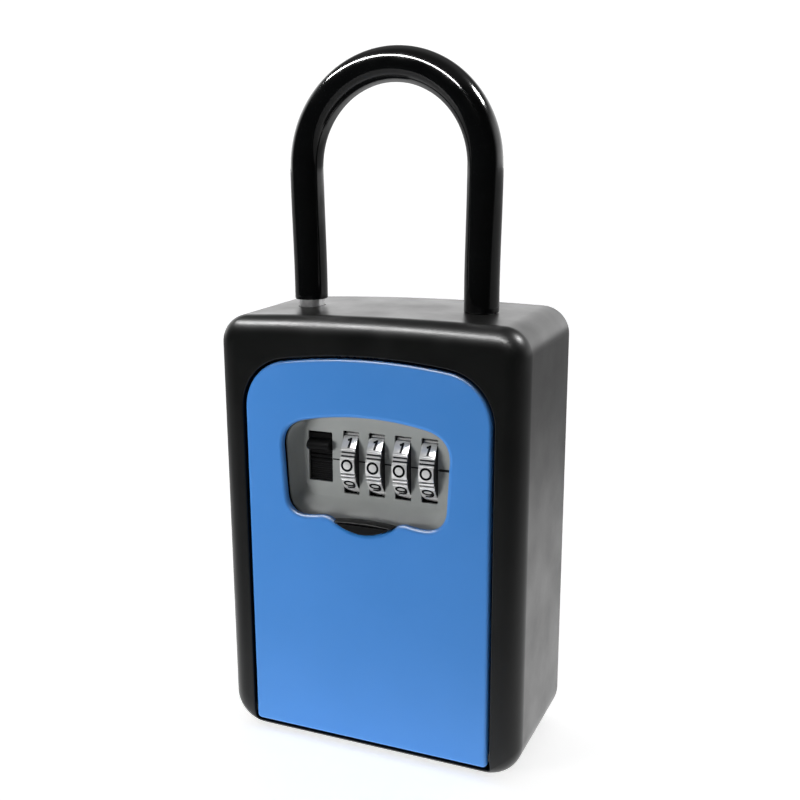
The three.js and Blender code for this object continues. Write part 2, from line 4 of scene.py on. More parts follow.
import bmesh
import bpy
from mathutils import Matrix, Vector


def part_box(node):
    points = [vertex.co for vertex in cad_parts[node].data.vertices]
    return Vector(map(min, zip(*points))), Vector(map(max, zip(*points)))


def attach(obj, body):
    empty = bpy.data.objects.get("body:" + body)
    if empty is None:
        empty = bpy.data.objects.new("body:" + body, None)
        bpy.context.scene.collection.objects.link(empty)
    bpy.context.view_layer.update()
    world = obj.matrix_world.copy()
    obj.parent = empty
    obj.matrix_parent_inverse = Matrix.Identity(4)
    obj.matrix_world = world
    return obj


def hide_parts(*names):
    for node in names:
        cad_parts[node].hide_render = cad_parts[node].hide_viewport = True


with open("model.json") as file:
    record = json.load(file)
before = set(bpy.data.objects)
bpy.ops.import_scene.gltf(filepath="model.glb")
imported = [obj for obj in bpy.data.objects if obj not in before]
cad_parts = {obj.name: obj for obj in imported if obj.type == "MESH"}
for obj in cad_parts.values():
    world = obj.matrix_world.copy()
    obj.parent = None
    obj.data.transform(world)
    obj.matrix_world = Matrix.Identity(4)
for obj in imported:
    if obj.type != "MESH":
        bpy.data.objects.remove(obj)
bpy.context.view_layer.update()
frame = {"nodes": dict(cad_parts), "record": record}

MM = 0.001

# ---- Driving sizes, in millimetres, read from the frame ----


def box_mm(node):
    low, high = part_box(node)
    return [v / MM for v in low], [v / MM for v in high]


CASE_LOW, CASE_HIGH = box_mm("body_shell")
DOOR_BOX = box_mm("door_panel")
TRAY_BOX = box_mm("dial_tray")
SHUTTER_BOX = box_mm("shutter")
SLEEVE_BOX = box_mm("shackle_sleeve")
BAR_BOX = box_mm("shackle_bar")
DIALS = [f"dial_{i + 1}" for i in range(4)]
DIAL_BOXES = [box_mm(name) for name in DIALS]

FRONT_Y = CASE_LOW[1]
REAR_Y = CASE_HIGH[1]
DIAL_RADIUS = (DIAL_BOXES[0][1][1] - DIAL_BOXES[0][0][1]) / 2
AXLE_Y = (DIAL_BOXES[0][1][1] + DIAL_BOXES[0][0][1]) / 2
AXLE_Z = 80.2
FRONT_FILLET = 5.4
REAR_FILLET = 1.3
WALL = 3.0
FLOOR = 2.2
LEG_X = 24.0
SHACKLE_Y = (SLEEVE_BOX[0][1] + SLEEVE_BOX[1][1]) / 2
LEG_TOP = 155.9
ARCH_HEIGHT = 25.0
LEG_SPREAD = 0.5


# ---- Meshes ----


def add_mesh(name, vertices, faces, sharp=40):
    """A new object from vertices in millimetres; edges sharper than the angle stay crisp."""
    mesh = bpy.data.meshes.new(name)
    mesh.from_pydata([[c * MM for c in v] for v in vertices], [], faces)
    return finish_mesh(name, mesh, sharp)


def finish_mesh(name, mesh, sharp=40):
    bm = bmesh.new()
    bm.from_mesh(mesh)
    bmesh.ops.remove_doubles(bm, verts=bm.verts, dist=1e-7)
    bmesh.ops.recalc_face_normals(bm, faces=bm.faces)
    bm.to_mesh(mesh)
    bm.free()
    mesh.shade_smooth()
    mesh.set_sharp_from_angle(angle=math.radians(sharp))
    piece = bpy.data.objects.new(name, mesh)
    bpy.context.scene.collection.objects.link(piece)
    return piece


def loft(rings, close_start=False, close_end=False):
    """Quads between rings that have the same number of points."""
    count = len(rings[0])
    vertices = [p for ring in rings for p in ring]
    faces = []
    for k in range(len(rings) - 1):
        for i in range(count):
            j = (i + 1) % count
            faces.append((k * count + i, k * count + j, (k + 1) * count + j, (k + 1) * count + i))
    if close_start:
        faces.append(tuple(range(count))[::-1])
    if close_end:
        faces.append(tuple((len(rings) - 1) * count + i for i in range(count)))
    return vertices, faces


def merge(*parts):
    """Joins several (vertices, faces) into one."""
    vertices, faces = [], []
    for more_vertices, more_faces in parts:
        start = len(vertices)
        vertices += more_vertices
        faces += [tuple(i + start for i in face) for face in more_faces]
    return vertices, faces


def inside(point, loop):
    """Whether a point is inside a closed loop, both of them flat at one y."""
    x, _, z = point
    crossings = 0
    for (x0, _, z0), (x1, _, z1) in zip(loop, loop[1:] + loop[:1]):
        if (z0 > z) != (z1 > z) and x < x0 + (x1 - x0) * (z - z0) / (z1 - z0):
            crossings += 1
    return crossings % 2 == 1


def plane_fill(outer, *holes):
    """Fills the flat area between an outer loop and the holes inside it."""
    bm = bmesh.new()
    for loop in (outer, *holes):
        verts = [bm.verts.new(p) for p in loop]
        for a, b in zip(verts, verts[1:] + verts[:1]):
            bm.edges.new((a, b))
    bmesh.ops.triangle_fill(bm, edges=bm.edges, use_beauty=True)
    bm.verts.index_update()
    vertices = [tuple(v.co) for v in bm.verts]
    faces = []
    for face in bm.faces:
        middle = face.calc_center_median()
        if not any(inside(middle, hole) for hole in holes):
            faces.append(tuple(v.index for v in face.verts))
    bm.free()
    return vertices, faces


def soften(piece, width, segments=3, angle=35):
    """Rounds every hard edge of a piece by a width in millimetres."""
    bevel = piece.modifiers.new("edges", "BEVEL")
    bevel.width = width * MM
    bevel.segments = segments
    bevel.limit_method = "ANGLE"
    bevel.angle_limit = math.radians(angle)
    bevel.harden_normals = True
    return piece


def even_normals(piece):
    """Lets large flat faces keep flat shading beside small rounded ones."""
    weighted = piece.modifiers.new("normals", "WEIGHTED_NORMAL")
    weighted.weight = 100
    weighted.keep_sharp = True
    return piece


def cut_away(piece, tool):
    """Cuts a tool's shape out of a piece for good, and removes the tool."""
    cutter = piece.modifiers.new("cut", "BOOLEAN")
    cutter.operation = "DIFFERENCE"
    cutter.solver = "EXACT"
    cutter.object = tool
    evaluated = piece.evaluated_get(bpy.context.evaluated_depsgraph_get())
    mesh = bpy.data.meshes.new_from_object(evaluated)
    piece.modifiers.remove(cutter)
    old = piece.data
    piece.data = mesh
    bpy.data.meshes.remove(old)
    bpy.data.objects.remove(tool)
    mesh.shade_smooth()
    mesh.set_sharp_from_angle(angle=math.radians(40))
    return piece


def arc(cx, cz, radius, start, end, steps):
    """Points on an arc, in degrees, its last point left out."""
    points = []
    for i in range(steps):
        angle = math.radians(start + (end - start) * i / steps)
        points.append((cx + radius * math.cos(angle), cz + radius * math.sin(angle)))
    return points


def line(start, end, steps):
    """Evenly spaced points on a line, its last point left out."""
    (x0, z0), (x1, z1) = start, end
    return [(x0 + (x1 - x0) * i / steps, z0 + (z1 - z0) * i / steps) for i in range(steps)]


class Panel:
    """A front-view outline with straight sides, round corners and a shallow arch on top."""

    def __init__(self, half, low, top, arch_radius, top_radius, bottom_radius):
        self.half, self.low, self.top = half, low, top
        self.arch, self.top_radius, self.bottom_radius = arch_radius, top_radius, bottom_radius
        self.arch_z = top - arch_radius
        self.corner_x = half - top_radius
        self.corner_z = self.arch_z + math.sqrt((arch_radius - top_radius) ** 2 - self.corner_x ** 2)
        self.turn = math.degrees(math.atan2(self.corner_z - self.arch_z, self.corner_x))

    def points(self, inset=0.0, low=None, steps=14, top_steps=40, side_steps=36):
        """The outline moved inwards by an inset, always with the same number of points."""
        low = self.low + inset if low is None else low
        half = self.half - inset
        lower = max(self.bottom_radius - inset, 0.05)
        upper = max(self.top_radius - inset, 0.05)
        right, left = half - lower, -(half - lower)
        points = line((left, low), (right, low), top_steps)
        points += arc(right, low + lower, lower, -90, 0, steps)
        points += line((half, low + lower), (half, self.corner_z), side_steps)
        points += arc(self.corner_x, self.corner_z, upper, 0, self.turn, steps)
        points += arc(0, self.arch_z, self.arch - inset, self.turn, 180 - self.turn, top_steps)
        points += arc(-self.corner_x, self.corner_z, upper, 180 - self.turn, 180, steps)
        points += line((-half, self.corner_z), (-half, low + lower), side_steps)
        points += arc(left, low + lower, lower, 180, 270, steps)
        return points

    def depth(self, x, z):
        """How far inside the outline a point is."""
        x = abs(x)
        bottom_x, bottom_z = self.half - self.bottom_radius, self.low + self.bottom_radius
        if x > bottom_x and z < bottom_z:
            return self.bottom_radius - math.hypot(x - bottom_x, z - bottom_z)
        angle = math.degrees(math.atan2(z - self.corner_z, x - self.corner_x))
        if z > self.corner_z and 0 < angle < self.turn:
            return self.top_radius - math.hypot(x - self.corner_x, z - self.corner_z)
        return min(self.half - x, z - self.low, self.arch - math.hypot(x, z - self.arch_z))


def at_y(points, y):
    return [(x, y, z) for x, z in points]


def offset(points, distance):
    """A closed loop moved outwards along its own normals; the loop runs anticlockwise."""
    moved = []
    count = len(points)
    for i, (x, z) in enumerate(points):
        x0, z0 = points[i - 1]
        x1, z1 = points[(i + 1) % count]
        tx, tz = x1 - x0, z1 - z0
        length = math.hypot(tx, tz) or 1.0
        moved.append((x + distance * tz / length, z - distance * tx / length))
    return moved


def bezier(start, control, end, steps):
    points = []
    for i in range(steps):
        t = i / steps
        a, b, c = (1 - t) ** 2, 2 * t * (1 - t), t * t
        points.append(tuple(a * s + b * m + c * e for s, m, e in zip(start, control, end)))
    return points


WAVY_SILL = [
    ((0, 63), (4.6, 63), (9, 66.3)),
    ((9, 66.3), (10.1, 67.1), (11.8, 67)),
    ((11.8, 67), (14.5, 66.4), (17.3, 66.4)),
    ((17.3, 66.4), (22, 66.8), (22.3, 72)),
]
LEVEL_SILL = [
    ((0, 64.9), (7, 64.9), (14.5, 65.0)),
    ((14.5, 65.0), (22, 65.2), (22.3, 72)),
]


def window_points(sill, steps=16):
    """The window's outline: arched top, round corners, and a sill made of curves."""
    right = sill + [
        ((22.3, 72), (22.65, 78.5), (23, 85)),
        ((23, 85), (23, 91.4), (15.5, 92.55)),
        ((15.5, 92.55), (8, 94.05), (0, 94.05)),
    ]
    points = []
    for start, control, end in right:
        points += bezier(start, control, end, steps)
    half = points + [right[-1][2]]
    mirrored = [(-x, z) for x, z in half[::-1]][:-1]
    return half + mirrored[1:]


CASE = Panel(CASE_HIGH[0], 0.0, CASE_HIGH[2], 748.5, 7.4, 9.6)
DOOR = Panel(DOOR_BOX[1][0], DOOR_BOX[0][2], DOOR_BOX[1][2], 153.0, 13.2, 1.3)
OPENING = Panel(DOOR.half + 0.7, FLOOR, DOOR.top + 0.7, 153.7, 13.9, 0.9)


# ---- Materials ----


def new_material(name, color, roughness, metallic=0.0, specular=0.5, coat=0.0, coat_roughness=0.1):
    material = bpy.data.materials.new(name)
    material.use_nodes = True
    shader = material.node_tree.nodes["Principled BSDF"]
    shader.inputs["Base Color"].default_value = (*color, 1)
    shader.inputs["Roughness"].default_value = roughness
    shader.inputs["Metallic"].default_value = metallic
    shader.inputs["Specular IOR Level"].default_value = specular
    shader.inputs["Coat Weight"].default_value = coat
    shader.inputs["Coat Roughness"].default_value = coat_roughness
    return material


class Nodes:
    """A short way to add and wire nodes in one material."""

    def __init__(self, material):
        self.tree = material.node_tree
        self.shader = self.tree.nodes["Principled BSDF"]
        self.place = self.tree.nodes.new("ShaderNodeTexCoord").outputs["Object"]
        self.bumped = None

    def noise(self, scale, detail=3.0, roughness=0.5, stretch=None):
        """Noise whose features are about 1 / scale metres across."""
        node = self.tree.nodes.new("ShaderNodeTexNoise")
        node.inputs["Scale"].default_value = scale
        node.inputs["Detail"].default_value = detail
        node.inputs["Roughness"].default_value = roughness
        source = self.place
        if stretch:
            mapping = self.tree.nodes.new("ShaderNodeMapping")
            mapping.inputs["Scale"].default_value = stretch
            self.tree.links.new(source, mapping.inputs["Vector"])
            source = mapping.outputs["Vector"]
        self.tree.links.new(source, node.inputs["Vector"])
        return node.outputs["Fac"]

    def axis(self, name):
        """One object coordinate, in metres."""
        node = self.tree.nodes.new("ShaderNodeSeparateXYZ")
        self.tree.links.new(self.place, node.inputs["Vector"])
        return node.outputs[name]

    def remap(self, source, from_low, from_high, to_low, to_high, smooth=False):
        node = self.tree.nodes.new("ShaderNodeMapRange")
        node.interpolation_type = "SMOOTHSTEP" if smooth else "LINEAR"
        limits = {"From Min": from_low, "From Max": from_high, "To Min": to_low, "To Max": to_high}
        for key, value in limits.items():
            node.inputs[key].default_value = value
        self.tree.links.new(source, node.inputs["Value"])
        return node.outputs["Result"]

    def math(self, operation, a, b=None):
        node = self.tree.nodes.new("ShaderNodeMath")
        node.operation = operation
        for socket, value in zip(node.inputs, (a, b)):
            if isinstance(value, (int, float)):
                socket.default_value = value
            elif value is not None:
                self.tree.links.new(value, socket)
        return node.outputs["Value"]

    def mix(self, factor, a, b):
        """A colour between two others; each may be a colour or another node's output."""
        node = self.tree.nodes.new("ShaderNodeMix")
        node.data_type = "RGBA"
        self.tree.links.new(factor, node.inputs["Factor"])
        for socket, value in ((node.inputs[6], a), (node.inputs[7], b)):
            if isinstance(value, tuple):
                socket.default_value = (*value, 1)
            else:
                self.tree.links.new(value, socket)
        return node.outputs[2]

    def bump(self, source, strength, distance):
        """Adds a bump; several bumps are chained."""
        node = self.tree.nodes.new("ShaderNodeBump")
        node.inputs["Strength"].default_value = strength
        node.inputs["Distance"].default_value = distance
        self.tree.links.new(source, node.inputs["Height"])
        if self.bumped:
            self.tree.links.new(self.bumped, node.inputs["Normal"])
        self.bumped = node.outputs["Normal"]
        self.tree.links.new(self.bumped, self.shader.inputs["Normal"])

    def set(self, socket, source):
        self.tree.links.new(source, self.shader.inputs[socket])


def case_paint():
    """Semi-matt black powder paint with a fine orange peel."""
    material = new_material("case_paint", (0.003, 0.0035, 0.0035), 0.34, specular=0.24)
    n = Nodes(material)
    n.set("Roughness", n.remap(n.noise(90, 4), 0.3, 0.7, 0.30, 0.38))
    n.bump(n.noise(2600, 2), 0.10, 0.00004)
    n.bump(n.noise(500, 2), 0.06, 0.00008)
    cloud = n.remap(n.noise(60, 4), 0.3, 0.7, 0.0, 1.0)
    n.set("Base Color", n.mix(cloud, (0.0022, 0.0025, 0.0025), (0.0038, 0.0042, 0.0040)))
    return material


def door_paint():
    """Blue paint under a thin clear coat."""
    blue = (0.045, 0.232, 0.64)
    material = new_material("door_paint", blue, 0.46, specular=0.35, coat=0.25, coat_roughness=0.3)
    n = Nodes(material)
    cloud = n.remap(n.noise(40, 4), 0.3, 0.7, 0.0, 1.0)
    n.set("Base Color", n.mix(cloud, (0.042, 0.226, 0.625), (0.048, 0.238, 0.655)))
    n.set("Roughness", n.remap(n.noise(160, 4), 0.3, 0.7, 0.42, 0.52))
    n.bump(n.noise(2400, 2), 0.10, 0.00004)
    n.bump(n.noise(380, 2), 0.05, 0.00008)
    return material


def moulded(name, color, roughness, light, specular=0.5):
    """Moulded plastic with a fine spark-eroded grain."""
    material = new_material(name, color, roughness, specular=specular)
    n = Nodes(material)
    n.set("Base Color", n.mix(n.remap(n.noise(120, 4), 0.3, 0.7, 0.0, 1.0), color, light))
    n.set("Roughness", n.remap(n.noise(700, 3), 0.3, 0.7, roughness - 0.07, roughness + 0.07))
    n.bump(n.noise(3200, 2), 0.16, 0.00004)
    return material


def tray_plastic(line_z, line_left):
    """Grey plastic with the dials' black index line across its floor."""
    material = moulded("tray_plastic", (0.305, 0.318, 0.310), 0.50, (0.335, 0.348, 0.340), specular=0.12)
    n = Nodes(material)
    base = material.node_tree.nodes["Principled BSDF"].inputs["Base Color"].links[0].from_socket
    across = n.remap(n.axis("X"), 0.0182, 0.0186, 0.00019, 0.00034)
    away = n.math("ABSOLUTE", n.math("SUBTRACT", n.axis("Z"), line_z * MM))
    near = n.math("LESS_THAN", away, across)
    right = n.math("GREATER_THAN", n.axis("X"), line_left * MM)
    ink = n.math("MULTIPLY", near, right)
    n.set("Base Color", n.mix(ink, base, (0.012, 0.013, 0.014)))
    return material


def vinyl():
    """Glossy black sleeve, faintly uneven."""
    black = (0.0025, 0.0028, 0.003)
    material = new_material("vinyl", black, 0.10, specular=0.35, coat=0.1, coat_roughness=0.05)
    n = Nodes(material)
    n.set("Roughness", n.remap(n.noise(200, 4), 0.3, 0.7, 0.08, 0.16))
    n.bump(n.noise(90, 1), 0.05, 0.0002)
    cloud = n.remap(n.noise(150, 4), 0.3, 0.7, 0.0, 1.0)
    n.set("Base Color", n.mix(cloud, (0.0020, 0.0023, 0.0025), (0.0032, 0.0035, 0.0037)))
    return material


def bright_metal(name, color, roughness, grain=None, metallic=1.0):
    """Plated or bare metal with a little dirt and, if asked, a drawn grain."""
    material = new_material(name, color, roughness, metallic=metallic)
    n = Nodes(material)
    dirt = n.remap(n.noise(260, 5, 0.65), 0.45, 0.75, 0.0, 1.0)
    dark = tuple(c * 0.62 for c in color)
    n.set("Base Color", n.mix(dirt, color, dark))
    n.set("Roughness", n.remap(n.noise(900, 3), 0.3, 0.7, roughness * 0.7, roughness * 1.6))
    n.bump(n.noise(1600, 3, 0.6, grain), 0.05, 0.00004)
    return material


def dial_rim():
    """Satin plating on the dials' rims: half mirror, half pale grey."""
    material = new_material("dial_rim", (0.90, 0.90, 0.90), 0.22, metallic=0.5, specular=0.4)
    n = Nodes(material)
    dirt = n.remap(n.noise(420, 5, 0.65), 0.5, 0.8, 0.0, 1.0)
    n.set("Base Color", n.mix(dirt, (0.90, 0.90, 0.90), (0.66, 0.66, 0.66)))
    n.set("Roughness", n.remap(n.noise(900, 3), 0.3, 0.7, 0.16, 0.27))
    n.bump(n.noise(1600, 3, 0.6), 0.06, 0.00004)
    return material


def dark_plate_and_groove_shade():
    """Dark plating on the door's pin; on the dials' sides and in their grooves the same dark colour is
    painted shade.
    """
    material = new_material("dark_plate_and_groove_shade", (0.05, 0.052, 0.055), 0.36, metallic=0.8)
    n = Nodes(material)
    n.set("Roughness", n.remap(n.noise(800, 3), 0.3, 0.7, 0.28, 0.44))
    n.bump(n.noise(1800, 3), 0.15, 0.00004)
    return material


def ink():
    material = new_material("ink", (0.004, 0.004, 0.005), 0.45, specular=0.08)
    n = Nodes(material)
    n.set("Roughness", n.remap(n.noise(900, 3), 0.3, 0.7, 0.28, 0.45))
    return material


def floor_white():
    """A light table: matt white, lit from below most brightly by the object, and plain white to the eye."""
    material = new_material("floor_white", (0.88, 0.88, 0.88), 0.7, specular=0.1)
    n = Nodes(material)
    length = n.tree.nodes.new("ShaderNodeVectorMath")
    length.operation = "LENGTH"
    n.tree.links.new(n.place, length.inputs[0])
    spread = n.remap(length.outputs["Value"], 0.06, 0.46, 1.18, 0.06, smooth=True)
    glow = n.math("MULTIPLY", spread, n.remap(n.axis("Y"), -0.14, 0.0, 0.12, 1.0, smooth=True))
    rays = n.tree.nodes.new("ShaderNodeLightPath")
    seen = n.tree.nodes.new("ShaderNodeMix")
    n.tree.links.new(rays.outputs["Is Camera Ray"], seen.inputs["Factor"])
    n.tree.links.new(glow, seen.inputs["A"])
    seen.inputs["B"].default_value = 0.72
    n.shader.inputs["Emission Color"].default_value = (1, 1, 1, 1)
    n.set("Emission Strength", seen.outputs["Result"])
    return material


CASE_PAINT = case_paint()
DOOR_PAINT = door_paint()
BLACK = moulded("black_plastic", (0.0040, 0.0040, 0.0042), 0.40, (0.0055, 0.0055, 0.0058), specular=0.1)
GREY = moulded("grey_plastic", (0.21, 0.225, 0.235), 0.45, (0.25, 0.265, 0.272))
TRAY_GREY = tray_plastic(80.75, -11.4)
VINYL = vinyl()
BAR_CHROME = bright_metal("bar_chrome", (0.96, 0.96, 0.97), 0.10, grain=(1.0, 1.0, 0.1), metallic=0.6)
STEEL = bright_metal("steel", (0.50, 0.51, 0.52), 0.24, grain=(1.0, 1.0, 0.12))
ZINC = bright_metal("zinc", (0.36, 0.37, 0.38), 0.42)
BRASS = bright_metal("brass", (0.62, 0.44, 0.17), 0.22)
DIAL_RIM = dial_rim()
DARK_PLATE_AND_GROOVE_SHADE = dark_plate_and_groove_shade()
INK = ink()


def use(piece, *materials):
    piece.data.materials.clear()
    for material in materials:
        piece.data.materials.append(material)
    return piece


def stand_for(piece, body, *nodes, slot=None):
    """Puts a piece on its body, in place of the CAD nodes that it stands for."""
    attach(piece, body)
    if nodes:
        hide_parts(*nodes)
    return piece


# ---- Case ----


def case_front_y(x, z):
    """The front surface: flat, falling away in a round fillet near the outline."""
    depth = CASE.depth(x, z)
    if depth >= FRONT_FILLET:
        return FRONT_Y
    drop = FRONT_FILLET - max(depth, 0.0)
    return FRONT_Y + FRONT_FILLET - math.sqrt(FRONT_FILLET ** 2 - drop ** 2)


def case_mesh():
    """One closed skin, from the cavity's rear wall, out through the opening and round to the back."""
    inner = Panel(CASE.half - WALL, FLOOR, CASE.top - WALL, 745.5, 5.0, 7.0)
    cavity = [at_y(inner.points(), y) for y in (REAR_Y - WALL, 0.0, FRONT_Y + WALL)]
    edge = 0.35
    lip = at_y(OPENING.points(), FRONT_Y + WALL)
    rings = cavity + [lip]
    opening = OPENING.points()
    grown = OPENING.points(-edge)
    for k in range(5):
        angle = math.radians(90 * k / 4)
        ring = []
        for (x0, z0), (x1, z1) in zip(opening, grown):
            blend = 1 - math.cos(angle)
            x, z = x0 + (x1 - x0) * blend, z0 + (z1 - z0) * blend
            ring.append((x, case_front_y(x1, z1) + edge * (1 - math.sin(angle)), z))
        rings.append(ring)
    outline = CASE.points()
    steps = 30
    for k in range(1, steps + 1):
        reach = 1 - math.cos(math.radians(90 * (1 - k / steps)))
        ring = []
        for (x0, z0), (x1, z1) in zip(outline, grown):
            x, z = x0 + (x1 - x0) * reach, z0 + (z1 - z0) * reach
            ring.append((x, case_front_y(x, z), z))
        rings.append(ring)
    rings.append(at_y(outline, 0.0))
    for k in range(6):
        angle = math.radians(90 * k / 5)
        inset = REAR_FILLET * (1 - math.cos(angle))
        rings.append(at_y(CASE.points(inset), REAR_Y - REAR_FILLET * (1 - math.sin(angle))))
    return loft(rings, close_start=True, close_end=True)


def turned(profile, centre, steps=64):
    """Turns (radius, height) points about an upright axis, from axis to axis."""
    rings = []
    for radius, z in profile:
        ring = []
        for i in range(steps):
            angle = 2 * math.pi * i / steps
            ring.append((centre[0] + radius * math.cos(angle), centre[1] + radius * math.sin(angle), z))
        rings.append(ring)
    return loft(rings, close_start=True, close_end=True)


def make_case():
    case = add_mesh("case", *case_mesh())
    hole = (BAR_BOX[1][1] - BAR_BOX[0][1]) / 2 + 0.15
    flare = hole + 0.3
    for x in (-LEG_X, LEG_X):
        top = CASE.arch_z + math.sqrt(CASE.arch ** 2 - x * x)
        profile = [(hole, top - 8), (hole, top - 0.25), (flare, top + 0.05), (flare, top + 2)]
        cut_away(case, add_mesh("hole_tool", *turned(profile, (x, SHACKLE_Y))))
    even_normals(case)
    use(case, CASE_PAINT)
    return stand_for(case, "case", "body_shell", slot="case_paint")


# ---- Door ----


def door_mesh():
    """Panel with rounded edges, the window's soft lip, and the shutter's pocket behind."""
    front, rear = DOOR_BOX[0][1], FRONT_Y + 2.5
    pocket_y, pocket = -19.65, Panel(26.0, 33.0, 97.0, 4000.0, 1.0, 1.0)
    edge, lip = 1.0, 1.25
    rings = [at_y(DOOR.points(), rear), at_y(DOOR.points(), front + edge)]
    for k in range(1, 9):
        angle = math.radians(90 * k / 8)
        rings.append(at_y(DOOR.points(edge * (1 - math.cos(angle))), front + edge * (1 - math.sin(angle))))
    outer = loft(rings)
    window = window_points(WAVY_SILL)
    sill = []
    for k in range(9):
        angle = math.radians(90 * k / 8)
        sill.append(at_y(offset(window, lip * (1 - math.sin(angle))), front + lip * (1 - math.cos(angle))))
    sill.append(at_y(window, pocket_y))
    inner = loft(sill)
    face = plane_fill(rings[-1], sill[0])
    pocket_loop = at_y(pocket.points(), pocket_y)
    floor = plane_fill(pocket_loop, sill[-1])
    wall = loft([pocket_loop, at_y(pocket.points(), rear)])
    back = plane_fill(rings[0], at_y(pocket.points(), rear))
    return merge(outer, inner, face, floor, wall, back)


def barrel_mesh(y, z, radius, half, steps=40):
    """The hinge barrel along X."""
    rings = []
    for x, shrink in ((-half, 0.3), (-half + 0.3, 0.0), (half - 0.3, 0.0), (half, 0.3)):
        ring = []
        for i in range(steps):
            angle = 2 * math.pi * i / steps
            ring.append((x, y + (radius - shrink) * math.cos(angle), z + (radius - shrink) * math.sin(angle)))
        rings.append(ring)
    return loft(rings, close_start=True, close_end=True)


def make_door():
    door = add_mesh("door", *door_mesh())
    even_normals(door)
    use(door, DOOR_PAINT)
    stand_for(door, "door", "door_panel", slot="door_paint")
    barrel = add_mesh("door_barrel", *barrel_mesh(-18.3, 5.55, 2.2, 31.0))
    use(barrel, DOOR_PAINT)
    stand_for(barrel, "door", slot="door_paint")


# ---- Tray ----


def slot_points(x0, x1, z0, z1, radius=0.35, steps=5):
    points = arc(x0 + radius, z0 + radius, radius, 180, 270, steps)
    points += arc(x1 - radius, z0 + radius, radius, 270, 360, steps)
    points += arc(x1 - radius, z1 - radius, radius, 0, 90, steps)
    points += arc(x0 + radius, z1 - radius, radius, 90, 180, steps)
    return points


# How far in, and how deep, the tray's wall is: a steep part, then a gentler one, softly joined.
TRAY_WALL = [
    (0.0, 0.0), (0.05, 0.14), (0.11, 0.28), (0.18, 0.42), (0.25, 0.53), (0.32, 0.62), (0.40, 0.70),
    (0.50, 0.78), (0.60, 0.85), (0.70, 0.905), (0.80, 0.95), (0.89, 0.98), (0.96, 0.995), (1.0, 1.0),
]


def tray_mesh():
    """A dished recess: rim behind the window, sloping walls, and a flat floor with its slots."""
    rim_y, under_y = TRAY_BOX[0][1], TRAY_BOX[1][1]
    floor_y = under_y - 0.8
    rim = window_points(LEVEL_SILL)
    base = Panel(20.4, 70.4, 93.4, 300.0, 3.6, 3.6)
    dense = [(x + 0.9, z) for x, z in base.points(steps=60, top_steps=120, side_steps=60)]
    centre_x, centre_z = 0.9, 81.0
    floor_loop = []
    for x, z in rim:
        heading = math.atan2(z - centre_z, x - centre_x)
        floor_loop.append(min(dense, key=lambda p: abs(math.remainder(
            math.atan2(p[1] - centre_z, p[0] - centre_x) - heading, 2 * math.pi))))
    edge = offset(rim, 0.2)
    rings = [at_y(edge, under_y), at_y(edge, rim_y + 0.2), at_y(offset(rim, 0.1), rim_y)]
    start = offset(rim, -0.25)
    for t, depth in TRAY_WALL:
        rings.append([
            (x0 + (x1 - x0) * t, rim_y + (floor_y - rim_y) * depth, z0 + (z1 - z0) * t)
            for (x0, z0), (x1, z1) in zip(start, floor_loop)
        ])
    slots = [slot_points(low[0] - 0.15, high[0] + 0.15, 71.6, 88.8) for low, high in DIAL_BOXES]
    slots.append(slot_points(-18.5, -11.5, 74.3, 88.0))
    face = plane_fill(rings[-1], *[at_y(s, floor_y) for s in slots])
    back = plane_fill(rings[0], *[at_y(s, under_y) for s in slots])
    throats = [loft([at_y(s, floor_y), at_y(s, under_y)]) for s in slots]
    return merge(loft(rings), face, back, *throats)


def make_tray():
    tray = add_mesh("tray", *tray_mesh(), sharp=50)
    even_normals(tray)
    use(tray, TRAY_GREY)
    return stand_for(tray, "door", "dial_tray", slot="grey_plastic")


# ---- Dials ----

STROKE = 0.62
DIGIT_HEIGHT = 2.7
PAD_HALF = 10.2
PAD_CROWN = 0.04


def digit_paths(digit):
    """The middle lines of one numeral, in a box about 1 high."""
    def bow(cx, cz, radius, start, end, steps=20):
        return [p for p in arc(cx, cz, radius, start, end, steps)] + [arc(cx, cz, radius, end, end + 1, 1)[0]]

    wide_loop = [(0.50 * math.cos(0.1309 * i), 0.16 + 0.32 * math.sin(0.1309 * i)) for i in range(49)]
    return {
        0: [bow(0, 0, 0.51, 90, 450, 48)],
        1: [[(-0.22, 0.30), (-0.02, 0.38), (0.10, 0.50), (0.02, -0.5)]],
        2: [bow(0, 0.22, 0.28, 165, -35) + [(-0.3, -0.5), (0.32, -0.5)]],
        3: [bow(0, 0.25, 0.25, 150, -90), bow(0, -0.24, 0.27, 90, -150)],
        4: [[(0.14, -0.5), (0.14, 0.5), (-0.32, -0.18), (0.34, -0.18)]],
        5: [[(0.28, 0.5), (-0.22, 0.5), (-0.26, 0.04)] + bow(0, -0.2, 0.3, 125, -145)],
        6: [bow(0, -0.22, 0.28, 90, 450), bow(0.22, -0.16, 0.5, 180, 110)],
        7: [[(-0.3, 0.5), (0.3, 0.5), (-0.06, -0.5)]],
        8: [bow(0, 0.26, 0.24, 90, 450), bow(0, -0.23, 0.27, 90, 450)],
        9: [wide_loop, [(0.50, 0.14), (0.48, -0.12), (0.34, -0.36), (0.05, -0.48), (-0.36, -0.46)]],
    }[digit]


def ribbon(path, width, spacing=0.12):
    """A flat stroke of constant width along a path, as closely spaced left and right edges."""
    dense = []
    for start, end in zip(path, path[1:]):
        dense += line(start, end, max(1, round(math.dist(start, end) / spacing)))
    path = dense + [path[-1]]
    sides = []
    for i, (x, z) in enumerate(path):
        x0, z0 = path[max(i - 1, 0)]
        x1, z1 = path[min(i + 1, len(path) - 1)]
        length = math.hypot(x1 - x0, z1 - z0) or 1.0
        nx, nz = (z1 - z0) / length, -(x1 - x0) / length
        sides.append(((x - nx * width / 2, z - nz * width / 2), (x + nx * width / 2, z + nz * width / 2)))
    return sides


